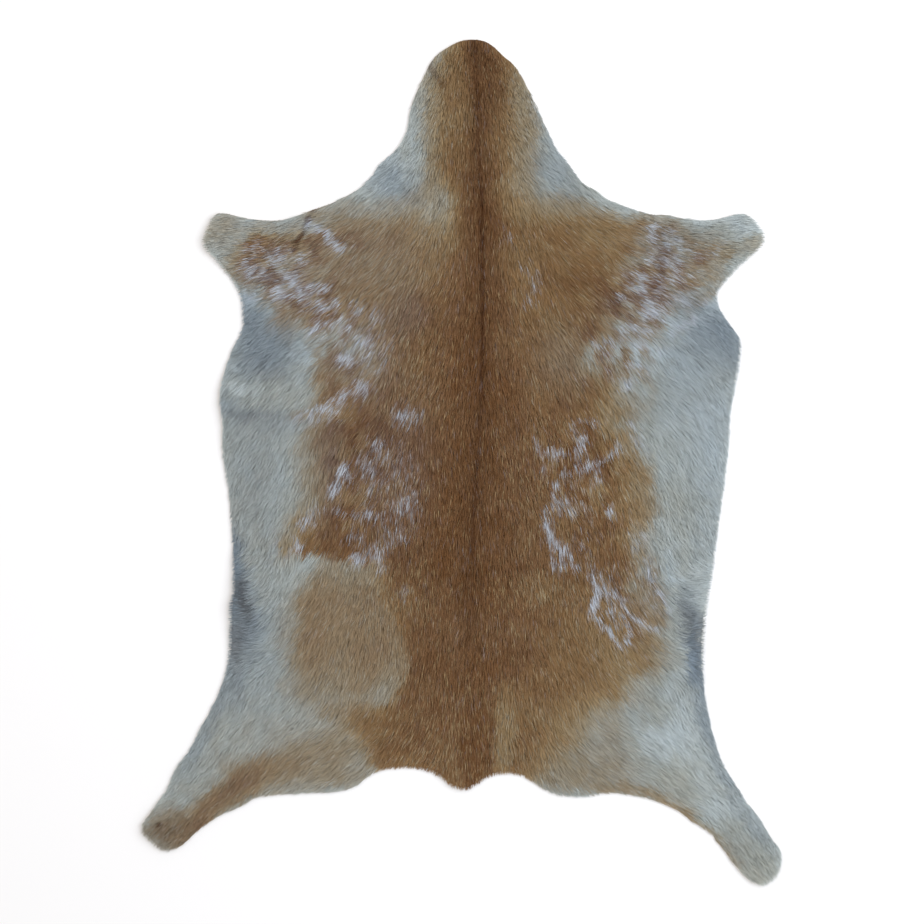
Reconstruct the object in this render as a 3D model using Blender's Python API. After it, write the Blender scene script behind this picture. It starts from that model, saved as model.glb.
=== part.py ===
"""Goatskin rug: one whole goat hide with its short coat, laid flat.

The skin and the hair that grows from it are a single piece, so the hide is one closed solid. Its edge
follows the hide's own outline, its underside lies on the floor and lifts a little along the rim, and its
top carries the crease of the spine and the low folds of the skin.

Metres, +Z up. The neck points to +Y and the hind legs to -Y. The origin is on the floor, under the middle
of the hide's bounding box.
"""

import math

import bmesh
import bpy
import numpy as np
from mathutils import Vector
from mathutils.geometry import delaunay_2d_cdt

MM = 0.001

# Driving sizes, in metres
HIDE_LENGTH = 0.928  # neck to the lower hind foot
HIDE_WIDTH = 0.700  # across the hind feet
PELT_THICKNESS = 0.0062  # skin of 1.5 mm under a coat that lies flat
RIM_THICKNESS = 0.0022  # where the skin ends and the last hairs lie on the floor
RIM_ROUNDING = 0.014  # how far in from the edge the coat reaches its full thickness
SPINE_HALF_WIDTH = 0.007
SPINE_DEPTH = 0.0014

# How finely the surfaces are divided, in metres
EDGE_STEP = 0.009
INSET = 0.005  # from the edge to the first row of points inside it
TOP_PITCH = 0.0135
UNDERSIDE_PITCH = 0.030
STEPS_PER_SPAN = 24  # of the smooth curve between two points of the outline
INSIDE_ONLY = 1  # the triangulation's option that keeps only what its border encloses
SAME_POINT = 1e-7

# The outline in millimetres from the middle of the hide, clockwise from the top of the neck.
# Each row is one point (x, y), placed where the edge turns.
NECK_RIGHT = [(0, 464), (27, 463), (50, 444), (58, 438), (87, 382), (105, 342), (115, 331)]
SHOULDER_RIGHT = [(131, 309), (148, 299), (159, 290), (208, 273), (222, 273), (246, 267), (275, 267)]
FORELEG_RIGHT = [(310, 273), (322, 262), (330, 248), (327, 238), (300, 213), (279, 187), (279, 176)]
FLANK_RIGHT = [(296, 148), (304, 137), (304, 119), (294, 48), (293, 23), (280, -78), (263, -216)]
HIND_LEG_RIGHT = [
    (284, -326), (308, -366), (309, -371), (317, -378), (336, -407), (338, -413), (346, -419), (350, -432),
    (344, -454), (325, -464), (293, -435), (288, -426), (278, -417), (277, -410), (252, -395), (233, -381),
    (202, -369), (157, -363),
]
RUMP = [
    (133, -367), (99, -363), (62, -342), (33, -343), (6, -358), (-10, -355), (-26, -342), (-51, -335),
    (-91, -339), (-122, -359), (-178, -364),
]
HIND_LEG_LEFT = [
    (-225, -368), (-239, -377), (-268, -390), (-296, -412), (-300, -418), (-308, -422), (-322, -427),
    (-341, -414), (-350, -402), (-341, -386), (-323, -360), (-312, -335), (-297, -315), (-282, -284),
    (-272, -268),
]
FLANK_LEFT = [
    (-254, -217), (-251, -155), (-248, -142), (-255, -26), (-261, 11), (-261, 45), (-264, 75), (-250, 125),
    (-239, 147), (-242, 187),
]
FORELEG_LEFT = [(-270, 226), (-281, 238), (-278, 253), (-272, 267), (-267, 274), (-231, 268), (-196, 267)]
SHOULDER_LEFT = [(-166, 277), (-137, 288), (-102, 309), (-86, 332), (-76, 340)]
NECK_LEFT = [(-64, 354), (-58, 370), (-56, 389), (-41, 425), (-30, 446), (-11, 459)]

# The crease along the spine, in millimetres (x, y), from the neck to where it fades out over the loin
SPINE = [
    (14, 450), (17, 398), (16, 343), (21, 288), (21, 145), (22, 68), (18, 13), (14, -42), (9, -152),
    (6, -200),
]

# Low folds and creases of the skin, in millimetres: each runs from one end to the other and bows sideways,
# with a half width and a height that is negative for a crease
FOLDS = [
    # x0, y0, x1, y1, bow, half width, height
    (-163, 276, -184, 232, 2, 8, -1.5),  # crease across the left shoulder
    (-262, 70, -176, 56, 6, 16, 2.2),  # wave that leaves the left flank
    (-262, 40, -178, 30, 6, 15, -1.6),
    (-150, 22, -104, 6, 3, 14, 1.0),
    (-60, -140, 190, -136, 8, 17, 1.0),  # bands across the loin
    (-58, -168, 186, -160, 8, 13, -1.0),
    (-56, -198, 170, -190, 6, 16, 0.9),
    (-240, -190, -166, -192, -3, 10, -1.5),  # crease of the left waist
    (-246, -168, -205, -166, 2, 13, 1.4),
    (236, -150, 258, -200, -5, 13, 1.5),  # whorl of the right waist
    (174, -276, 200, -284, 2, 13, -1.5),  # dimple above the right hind leg
    (-38, 436, -18, 414, 1, 8, -1.2),  # short crease near the top of the neck
    (-190, -330, -300, -398, 6, 16, 1.3),  # ridge of each leg
    (210, -330, 318, -430, -8, 16, 1.3),
    (-185, 236, -258, 250, -4, 14, 1.1),
    (232, 236, 306, 250, 4, 14, 1.1),
    (128, 300, 160, 240, 4, 16, 1.0),
    (-110, 300, -140, 250, -4, 16, 0.9),
]

# Where the rim stands off the floor, in millimetres
LIFTED_RIMS = [
    # x, y, radius, height
    (10, 466, 60, 2.5),  # neck
    (326, 252, 58, 4.5),  # right foreleg
    (-280, 250, 58, 4.5),  # left foreleg
    (306, 128, 66, 3.0),  # right flank
    (-266, 62, 70, 3.5),  # left flank
    (-252, -150, 84, 4.5),  # left waist
    (266, -200, 80, 4.0),  # right waist
    (-344, -408, 56, 3.0),  # left hind foot
    (340, -448, 58, 3.5),  # right hind foot
    (-4, -360, 46, 2.5),  # notch of the tail
]

# Slight unevenness of the whole pelt: each row is a wave with its length along x and y and its height
UNEVENNESS = [
    # wavelength x, wavelength y, phase, height, all in millimetres but the phase in radians
    (190, 260, 0.4, 0.45),
    (-140, 170, 2.1, 0.30),
    (85, -110, 4.0, 0.18),
]

COAT_COLOUR = (0.20, 0.13, 0.075, 1.0)
COAT_ROUGHNESS = 0.85


def clear_scene():
    for obj in list(bpy.data.objects):
        bpy.data.objects.remove(obj)


def coat_material():
    material = bpy.data.materials.new("goat_coat")
    material.use_nodes = True
    shader = material.node_tree.nodes["Principled BSDF"]
    shader.inputs["Base Color"].default_value = COAT_COLOUR
    shader.inputs["Roughness"].default_value = COAT_ROUGHNESS
    shader.inputs["Metallic"].default_value = 0.0
    return material


def smooth_loop(points):
    """A closed curve through the points, which bends least at the close ones (centripetal Catmull-Rom)."""
    before, after, beyond = (np.roll(points, shift, axis=0) for shift in (1, -1, -2))
    first, middle, last = (
        np.linalg.norm(b - a, axis=1)[:, None] ** 0.5
        for a, b in ((before, points), (points, after), (after, beyond))
    )
    t1, t2, t3 = first, first + middle, first + middle + last
    spans = []
    for step in range(STEPS_PER_SPAN):
        t = t1 + middle * step / STEPS_PER_SPAN
        a = (before * (t1 - t) + points * t) / t1
        b = (points * (t2 - t) + after * (t - t1)) / middle
        c = (after * (t3 - t) + beyond * (t - t2)) / last
        d = (a * (t2 - t) + b * t) / t2
        e = (b * (t3 - t) + c * (t - t1)) / (t3 - t1)
        spans.append((d * (t2 - t) + e * (t - t1)) / middle)
    return np.stack(spans, axis=1).reshape(-1, 2)


def evenly_spaced(loop, spacing):
    """Points along a closed polyline at about this spacing."""
    closed = np.vstack([loop, loop[:1]])
    along = np.concatenate([[0.0], np.cumsum(np.linalg.norm(np.diff(closed, axis=0), axis=1))])
    count = round(along[-1] / spacing)
    at = np.linspace(0.0, along[-1], count, endpoint=False)
    return np.stack([np.interp(at, along, closed[:, axis]) for axis in (0, 1)], axis=1)


def hide_outline():
    """The edge of the hide, evenly divided, centred and at its full size."""
    right = NECK_RIGHT + SHOULDER_RIGHT + FORELEG_RIGHT + FLANK_RIGHT + HIND_LEG_RIGHT
    left = HIND_LEG_LEFT + FLANK_LEFT + FORELEG_LEFT + SHOULDER_LEFT + NECK_LEFT
    loop = evenly_spaced(smooth_loop(np.array(right + RUMP + left) * MM), EDGE_STEP)
    low, high = loop.min(axis=0), loop.max(axis=0)
    middle = (low + high) / 2
    scale = np.array([HIDE_WIDTH, HIDE_LENGTH]) / (high - low)
    return (loop - middle) * scale


def distance_to_path(points, path):
    """Distance of each point from a polyline."""
    start, run = path[:-1], np.diff(path, axis=0)
    nearest = np.full(len(points), np.inf)
    for a, d in zip(start, run):
        share = np.clip(((points - a) @ d) / (d @ d), 0.0, 1.0)
        nearest = np.minimum(nearest, np.linalg.norm(points - a - share[:, None] * d, axis=1))
    return nearest


def fold_height(points):
    """Sum of the folds and creases: each is a rounded ridge across its bowed line and fades at its ends."""
    total = np.zeros(len(points))
    for x0, y0, x1, y1, bow, half_width, height in FOLDS:
        start = np.array([x0, y0]) * MM
        run = np.array([x1 - x0, y1 - y0]) * MM
        length = np.linalg.norm(run)
        along_axis = run / length
        across_axis = np.array([-along_axis[1], along_axis[0]])
        along = (points - start) @ along_axis
        across = (points - start) @ across_axis
        share = np.clip(along / length, 0.0, 1.0)
        centre = bow * MM * np.sin(np.pi * share)
        beyond = np.maximum(np.maximum(-along, along - length), 0.0)
        reach = np.hypot(across - centre, beyond) / (half_width * MM)
        total += height * MM * np.exp(-(reach**2))
    return total


def rim_lift(points):
    """How far the underside stands off the floor: nothing but near the lifted rims."""
    lift = np.zeros(len(points))
    for x, y, radius, height in LIFTED_RIMS:
        away = np.linalg.norm(points - np.array([x, y]) * MM, axis=1) / (radius * MM)
        near = np.clip(1.0 - away, 0.0, 1.0)
        lift = np.maximum(lift, height * MM * near**2 * (3.0 - 2.0 * near))
    return lift


def unevenness(points):
    """The slow waves of the whole pelt, added together."""
    total = np.zeros(len(points))
    for wave_x, wave_y, phase, height in UNEVENNESS:
        turns = points[:, 0] / (wave_x * MM) + points[:, 1] / (wave_y * MM)
        total += height * MM * np.sin(2.0 * np.pi * turns + phase)
    return total


def pelt_thickness(points, edge_distance):
    """Thin at the rim, full inside it, with the spine's crease and the folds."""
    inward = np.clip(edge_distance / RIM_ROUNDING, 0.0, 1.0)
    full = np.sin(inward * math.pi / 2.0)
    crease = distance_to_path(points, np.array(SPINE, float) * MM) / SPINE_HALF_WIDTH
    relief = fold_height(points) + unevenness(points) - SPINE_DEPTH * np.exp(-(crease**2))
    return RIM_THICKNESS + full * (PELT_THICKNESS - RIM_THICKNESS + relief)


def grid_inside(edge, pitch, clearance):
    """Points of an even triangular grid that lie inside the edge and at least this far from it."""
    low, high = edge.min(axis=0), edge.max(axis=0)
    row_gap = pitch * math.sqrt(3.0) / 2.0
    rows = []
    for index, y in enumerate(np.arange(low[1] + clearance, high[1], row_gap)):
        xs = np.arange(low[0] + (index % 2) * pitch / 2.0, high[0], pitch)
        rows.append(np.stack([xs, np.full(len(xs), y)], axis=1))
    grid = np.vstack(rows)
    closed = np.vstack([edge, edge[:1]])
    inside = inside_loop(grid, edge) & (distance_to_path(grid, closed) > clearance)
    return grid[inside]


def inside_loop(points, loop):
    """Whether each point is inside the closed loop, by counting the edges to one side of it."""
    inside = np.zeros(len(points), bool)
    for (x0, y0), (x1, y1) in zip(loop, np.roll(loop, -1, axis=0)):
        spans = (y0 > points[:, 1]) != (y1 > points[:, 1])
        crossing = x0 + (points[:, 1] - y0) * (x1 - x0) / (y1 - y0)
        inside ^= spans & (points[:, 0] < crossing)
    return inside


def inset_row(edge, inset):
    """The edge moved inward, without the points that a tight turn would bring too near to it."""
    run = np.roll(edge, -1, axis=0) - np.roll(edge, 1, axis=0)
    run /= np.linalg.norm(run, axis=1)[:, None]
    moved = edge + inset * np.stack([run[:, 1], -run[:, 0]], axis=1)
    closed = np.vstack([edge, edge[:1]])
    return moved[distance_to_path(moved, closed) > 0.9 * inset]


def triangulated(edge, inner):
    """Triangles over the edge and the points inside it. The edge's points come first."""
    points = [Vector(p) for p in np.vstack([edge, inner])]
    border = [(i, (i + 1) % len(edge)) for i in range(len(edge))]
    result = delaunay_2d_cdt(points, border, [], INSIDE_ONLY, SAME_POINT)
    faces, sources = result[2], result[3]
    return [[sources[corner][0] for corner in face] for face in faces]


def facing(face, points, up):
    """The triangle with its corners in the order that makes it face up or down."""
    (ax, ay), (bx, by), (cx, cy) = (points[corner] for corner in face)
    turns_left = (bx - ax) * (cy - ay) - (by - ay) * (cx - ax) > 0
    return face if turns_left == up else face[::-1]


def hide_mesh(edge):
    """The closed mesh of the hide: a fine top, a coarser underside and the wall of the rim between them."""
    closed = np.vstack([edge, edge[:1]])
    inset = inset_row(edge, INSET)
    top_inner = np.vstack([inset, grid_inside(edge, TOP_PITCH, INSET + 0.6 * TOP_PITCH)])
    under_inner = grid_inside(edge, UNDERSIDE_PITCH, 0.5 * UNDERSIDE_PITCH)
    top = np.vstack([edge, top_inner])
    under = np.vstack([edge, under_inner])
    top_z = rim_lift(top) + pelt_thickness(top, distance_to_path(top, closed))
    under_z = rim_lift(under)

    bm = bmesh.new()
    top_verts = [bm.verts.new((x, y, z)) for (x, y), z in zip(top, top_z)]
    under_verts = [bm.verts.new((x, y, z)) for (x, y), z in zip(under, under_z)]
    for face in triangulated(edge, top_inner):
        bm.faces.new([top_verts[corner] for corner in facing(face, top, True)])
    for face in triangulated(edge, under_inner):
        bm.faces.new([under_verts[corner] for corner in facing(face, under, False)])
    for i in range(len(edge)):
        j = (i + 1) % len(edge)
        bm.faces.new([top_verts[i], top_verts[j], under_verts[j], under_verts[i]])
    bmesh.ops.recalc_face_normals(bm, faces=bm.faces)
    mesh = bpy.data.meshes.new("hide")
    bm.to_mesh(mesh)
    bm.free()
    return mesh


def build_hide():
    hide = bpy.data.objects.new("hide", hide_mesh(hide_outline()))
    hide.data.materials.append(coat_material())
    hide.data.shade_smooth()
    bpy.context.scene.collection.objects.link(hide)
    return hide


clear_scene()
build_hide()
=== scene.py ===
import math

import bpy
import numpy as np
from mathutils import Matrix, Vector
from mathutils.bvhtree import BVHTree
from mathutils.geometry import delaunay_2d_cdt


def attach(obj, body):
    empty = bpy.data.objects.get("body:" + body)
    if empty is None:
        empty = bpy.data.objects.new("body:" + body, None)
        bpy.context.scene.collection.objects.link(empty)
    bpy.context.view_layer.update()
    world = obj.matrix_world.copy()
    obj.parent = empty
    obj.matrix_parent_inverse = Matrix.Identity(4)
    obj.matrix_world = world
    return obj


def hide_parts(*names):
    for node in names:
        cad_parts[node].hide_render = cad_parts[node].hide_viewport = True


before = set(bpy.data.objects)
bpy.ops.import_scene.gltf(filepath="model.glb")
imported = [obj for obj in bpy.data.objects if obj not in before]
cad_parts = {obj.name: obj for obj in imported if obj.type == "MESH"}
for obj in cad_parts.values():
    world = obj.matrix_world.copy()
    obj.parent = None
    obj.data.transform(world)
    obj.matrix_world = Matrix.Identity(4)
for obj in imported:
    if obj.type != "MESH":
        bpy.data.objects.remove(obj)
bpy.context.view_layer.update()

# Goatskin rug: the tanned skin is a thin sheet with a suede underside, and the coat is some 300,000 hairs
# that grow from it, lie along the direction in which a goat's hair grows, and take their colours from
# tables of the hide's markings, with painted shade and a painted highlight along some folds. Everything is
# in metres, +Z up, with the neck at +Y. The tables are in millimetres from the middle of the hide.

MM = 0.001
rng = np.random.default_rng(7)

# The skin
SKIN_THICKNESS = 1.5 * MM
SKIN_PITCH = 5.5 * MM
SKIN_INSET = 0.8 * MM
SKIN_EDGE_STEP = 4 * MM
ROW_CLEARANCE = 0.6  # of the pitch, between the edge and the first points inside it
INSIDE_ONLY = 1  # the triangulation keeps only what its border encloses
SAME_POINT = 1e-7

# The hairs: how they are spread
HAIR_PITCH = 1.222 * MM
HAIR_JITTER = 0.42  # of the pitch
ROOT_INSET = 0.4 * MM
LOCK_PITCH, LOCK_SEED = 5.0 * MM, 3
TUFT_PITCH, TUFT_SEED = 2.6 * MM, 103
STRIPS = ["left_flank", "left_side", "back", "right_side", "right_flank"]

# Their lengths, as shares of the full length
HAIR_LENGTH = 17 * MM
SHORTEST_HAIR = 5 * MM
LOCK_LENGTH, LOCK_LENGTH_SPREAD = 0.78, 0.30
HAIR_LENGTHS = (0.82, 1.12)
SHORTER_ON_LIMBS = 0.34
SHORTER_AT_RIM = 0.22
NECK_FROM = (0.30, 0.44)  # where along y the hair goes over to the neck's length
LEGS_FROM = (0.24, 0.31)  # the same outward along x, for the legs
RIM_TO = (0.006, 0.03)  # the same inward from the edge
OVERHANG = 1.0 * MM
OVERHANG_SPREAD = (-0.2, 1.0)
TRIM_ROUNDS, TRIM_SHARE = 5, 1.15

# Their shapes
HAIR_WIDTH = 0.68 * MM
HAIR_WIDTHS = (0.6, 1.15)
LOCK_TURN = 0.20  # radians from one lock to the next
HAIR_TURN = 0.075
HAIR_BEND = 0.05
HAIR_ROLL = 0.55
GATHERING = (0.04, 0.34)  # how far a hair's tip moves to the middle of its lock
LAYERS = (0.42, 1.04)  # how high a hair's tip lies, as a share of the coat's depth
THINNEST_COAT = 0.4 * MM
LOWEST_POINT = 0.1 * MM
HAIR_STATIONS = np.array([0.0, 0.52, 1.0])
HAIR_RISE = np.array([0.0, 0.86, 1.0])  # share of the coat's depth at each station
HAIR_TAPER = np.array([0.9, 1.0])  # share of the full width at each station but the tip

# Each is a quad and a triangle: its faces' corners and sizes, and where its points lie
RIBBON_CORNERS = np.array([0, 1, 3, 2, 2, 3, 4])
RIBBON_FACES = np.array([4, 3])
RIBBON_U = np.array([0.15, 0.85, 0.15, 0.85, 0.5])
RIBBON_ALONG = HAIR_STATIONS[[0, 0, 1, 1, 2]]
ATLAS_BORDER = 0.1

# Their colours
SEEN_PART = 0.62  # how far along a hair the place lies whose colour it takes
SCATTER = 1.6 * MM  # how far a hair's colour strays from its place
TUFT_SCATTER = 2.6 * MM
TUFT_CHANCE, HAIR_CHANCE = 0.70, 0.45  # what a tuft and a hair add to the threshold for a white hair
LIGHT_HAIR = 0.70  # a light hair in a roan coat has this share of the brown around it

# The maps that every piece is placed by
MAP_STEP = 2.5 * MM
MAP_MARGIN = 20 * MM
FACES_DOWN, UPRIGHT = -0.7, 0.3  # limits of a normal's z on the underside and on the rim's wall

# The camera, the lamps and the floor
PHOTO_SIDE = 924
PHOTO_MM_PER_PIXEL = 1.1
VIEW_CENTRE = (0.3 * MM, -0.5 * MM)
LENS = 70.0
SENSOR = 36.0
LAMPS = [
    # name, place, size, power, colour
    ("key", (1.6, 0.4, 2.1), 3.0, 70, (0.83, 0.92, 1.0)),
    ("fill", (-1.7, 0.8, 2.4), 2.4, 17, (1.0, 0.94, 0.86)),
]
SKY_COLOUR = (0.97, 0.965, 0.96, 1)
SKY_STRENGTH = 0.62
FLOOR_COLOUR = (0.92, 0.89, 0.88, 1)
FLOOR_ROUGHNESS = 0.9
FLOOR_GLOSS = 0.1
FLOOR_HALF = 12.0
FLOOR_Z = -0.3 * MM

# How the hair lies: it points from root to tip along (dx, dy) near (x, y). Given for the right half and
# mirrored about the spine for the left.
SPINE_X = 16
SPINE_FADES_AT = 350  # how far from the spine its offset no longer counts
LAY_BOTH_SIDES = [
    # x, y, dx, dy
    (0, 455, 0, -1), (35, 440, 0.25, -1), (55, 400, 0.45, -1), (70, 355, 0.7, -1), (0, 360, 0, -1),
    (30, 340, 0.2, -1), (90, 318, 0.9, -0.75), (0, 250, 0, -1), (50, 270, 0.35, -1), (110, 285, 0.85, -0.7),
    (170, 262, 1, -0.45), (230, 248, 1, -0.2), (300, 250, 1, -0.1), (60, 200, 0.35, -1),
    (120, 215, 0.75, -0.85), (190, 205, 1, -0.55), (255, 205, 1, -0.5), (110, 150, 0.65, -1),
    (180, 145, 0.95, -0.8), (240, 140, 1, -0.75), (290, 120, 1, -0.85), (0, 100, 0, -1), (60, 100, 0.2, -1),
    (130, 80, 0.6, -1), (200, 70, 0.85, -0.95), (260, 60, 0.7, -1), (0, 0, 0, -1), (70, 0, 0.2, -1),
    (140, 0, 0.35, -1), (210, -10, 0.5, -1), (265, -10, 0.45, -1), (70, -90, 0.12, -1), (140, -90, 0.3, -1),
    (205, -90, 0.35, -1), (250, -90, 0.5, -1), (0, -150, 0, -1), (80, -170, 0.15, -1), (150, -170, 0.35, -1),
    (205, -170, 0.45, -1), (0, -260, 0, -1), (60, -260, 0.2, -1), (120, -250, 0.45, -1),
    (180, -250, 0.65, -0.85), (235, -260, 0.6, -1), (0, -340, 0, -1), (60, -325, 0.35, -1),
    (110, -320, 0.8, -0.7), (165, -325, 1, -0.45), (215, -320, 0.9, -0.75), (265, -330, 0.65, -1),
    (255, -375, 0.9, -0.7), (300, -380, 0.75, -0.9), (330, -430, 0.7, -0.9),
]
# Whorls at the two waists, where the hair turns outward and up
LAY_LEFT = [
    (-246, -110, -1, -0.35), (-243, -155, -1, 0.25), (-244, -195, -1, 0.1), (-250, -240, -0.7, -0.8),
]
LAY_RIGHT = [
    (262, -140, 0.9, 0.1), (255, -185, 1, 0.55), (262, -215, 0.8, -0.3), (266, -250, 0.5, -1),
]
LAY_REACH = 26 * MM
LAY_WAVER = [(0.16, 40 * MM, 11), (0.14, 14 * MM, 12)]  # radians, size, seed

# Where the coat is brown: its left and right edge at each station down the hide, and how soft each edge is
SADDLE = [
    # y, left, right, left softness, right softness
    (470, -44, 62, 14, 12), (430, -34, 59, 18, 18), (400, -28, 61, 20, 20), (350, -29, 62, 20, 24),
    (312, -29, 64, 22, 26), (294, -30, 68, 30, 30), (280, -46, 92, 50, 50), (268, -108, 158, 64, 50),
    (258, -168, 204, 40, 14), (250, -222, 200, 18, 8), (236, -242, 192, 10, 8), (214, -238, 166, 12, 8),
    (205, -226, 172, 12, 8), (185, -208, 184, 12, 8), (165, -196, 176, 14, 8), (145, -168, 154, 20, 8),
    (133, -154, 140, 24, 10), (118, -148, 130, 24, 14), (105, -150, 142, 22, 14), (85, -156, 164, 18, 14),
    (60, -160, 172, 18, 18), (35, -166, 178, 18, 20), (15, -164, 190, 22, 18), (-10, -166, 200, 24, 18),
    (-35, -168, 202, 22, 18), (-60, -174, 204, 20, 18), (-85, -190, 200, 16, 18), (-100, -196, 196, 12, 18),
    (-110, -101, 196, 8, 16), (-130, -92, 200, 8, 16), (-150, -84, 208, 8, 14), (-175, -72, 212, 8, 12),
    (-200, -62, 213, 8, 16), (-225, -59, 208, 8, 20), (-245, -66, 194, 12, 26), (-262, -80, 174, 18, 32),
    (-280, -128, 152, 30, 38), (-300, -126, 130, 32, 40), (-322, -104, 106, 26, 34), (-345, -84, 84, 22, 28),
    (-370, -70, 70, 20, 20),
]
SADDLE_BROWN = 0.86
CREAM_BROWN = 0.14
FLANK_SLATE = 0.12
RAGGED = 8  # how far the markings' edges wander
WANDER_SIZE, WANDER_SEEDS = 22 * MM, (21, 31)
FINE_SIZE, FINE_SEEDS = 7 * MM, (41, 51)
FINE_IN_PATCHES, FINE_IN_TUFTS = 0.45, 0.35  # the fine wander as a share of the slow one
SOFT_BEYOND = 0.6  # the part of a patch's soft edge that lies outside its ellipse
CLOUDS, CLOUD_SIZE, CLOUD_SEED = 0.07, 45 * MM, 61  # slow changes of the brown
GRAIN, GRAIN_SIZE, GRAIN_SEED = 0.04, 9 * MM, 71
MOTTLE_SIZE, MOTTLE_SEED = 10 * MM, 91
MOTTLE_TOP = 0.25  # the most that a tuft of the mottle adds
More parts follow.
